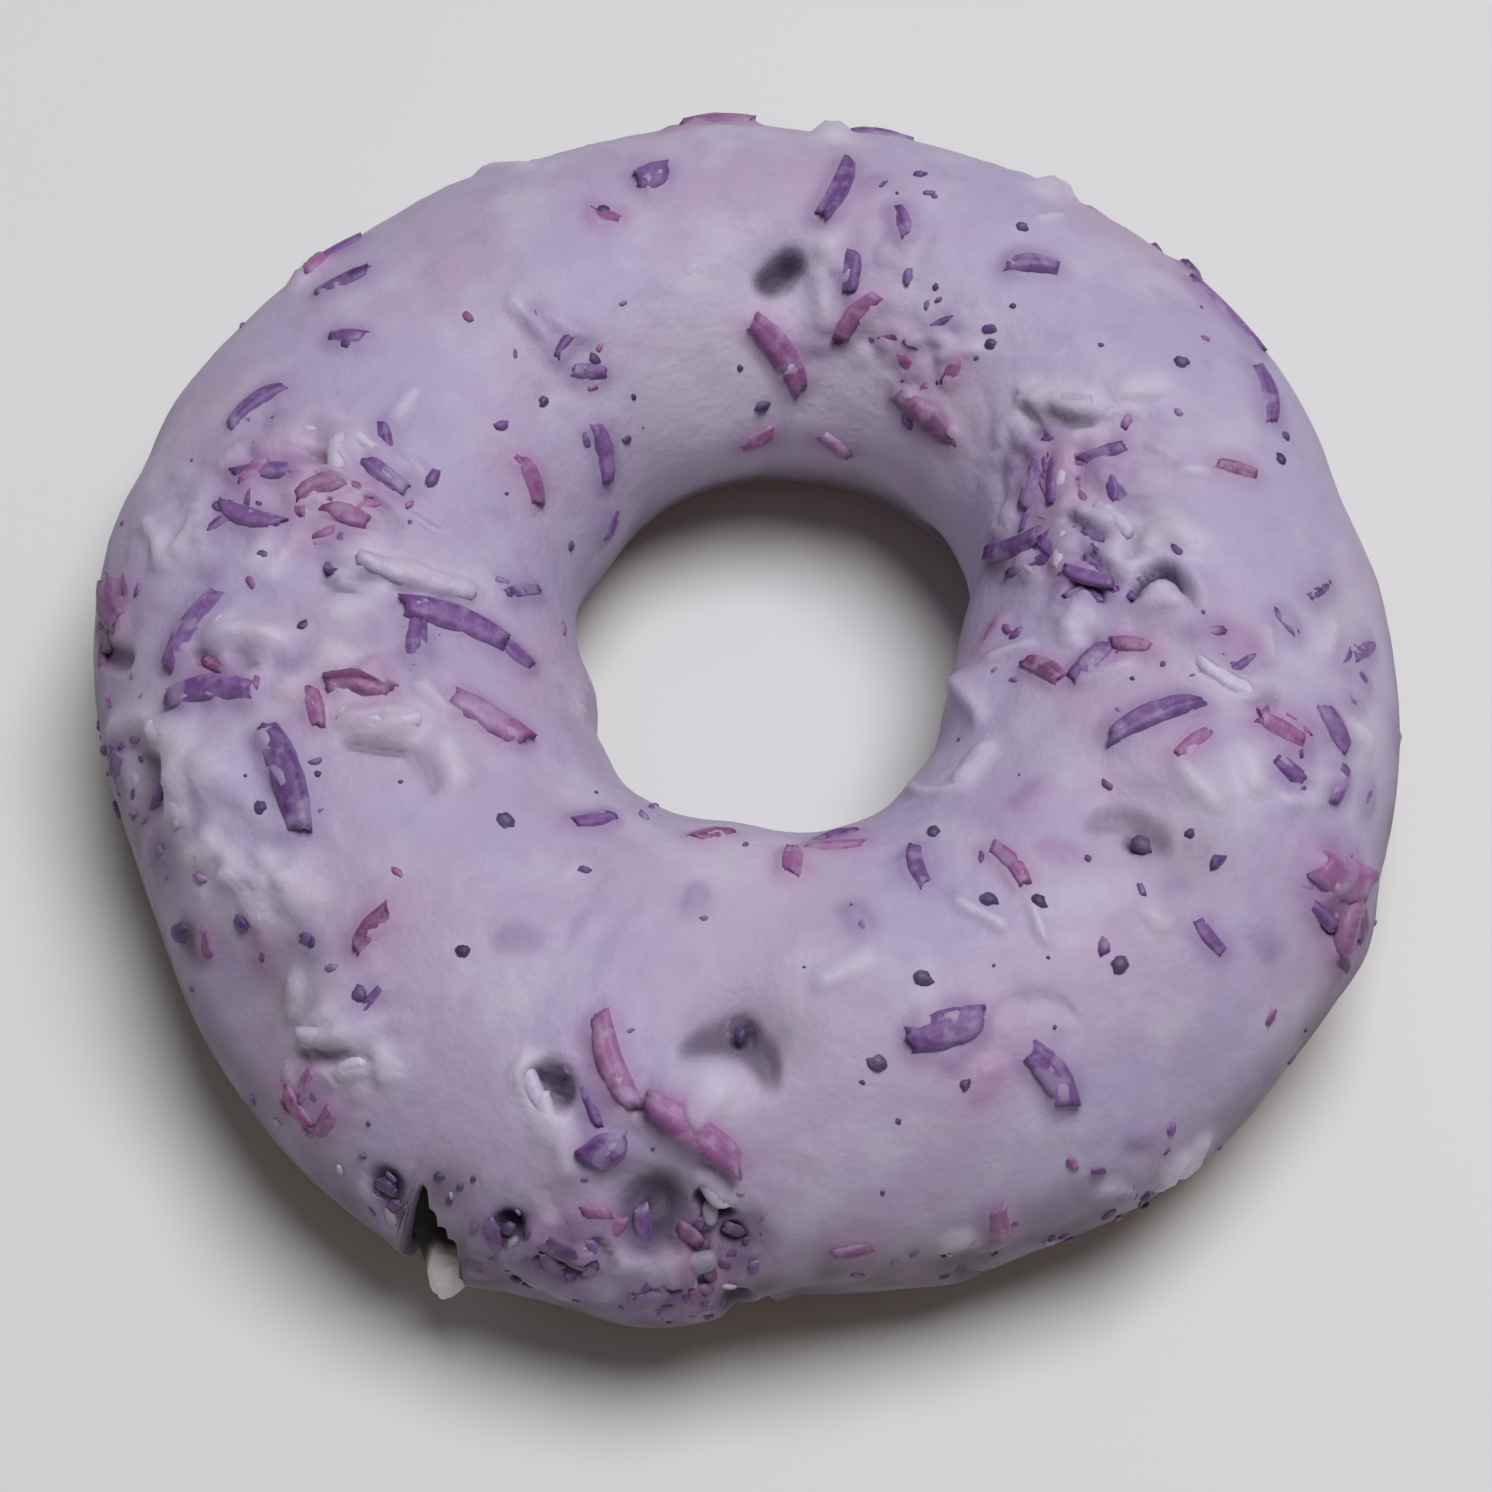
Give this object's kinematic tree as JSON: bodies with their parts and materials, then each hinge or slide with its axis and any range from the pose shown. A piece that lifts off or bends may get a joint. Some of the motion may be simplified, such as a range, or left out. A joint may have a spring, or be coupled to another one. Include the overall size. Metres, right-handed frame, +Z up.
{
  "type": "blueberry doughnut",
  "caption": "Ring doughnut dipped in lilac icing set with violet, pink and pale curls: a sweet pastry to set down, serve or bite.",
  "frame": {"origin": "middle of the bounding box on the plane that the doughnut lies on, inside the hole", "axes": "+Z up along the hole, -Y towards the side nearest the camera of the picture, +X to the right"},
  "size_m": [0.0898, 0.0898, 0.0264],
  "materials": {
    "fried_dough": "dry fried crust, golden brown and slightly pitted",
    "lilac_icing": "set sugar icing, satin",
    "violet_curls": "dark violet icing curls, waxy",
    "pink_curls": "magenta icing curls, waxy",
    "pale_curls": "pale lilac curls, coated by the icing"
  },
  "bodies": {
    "root": {"dough": "fried_dough", "icing": "lilac_icing"}
  },
  "joints": []
}
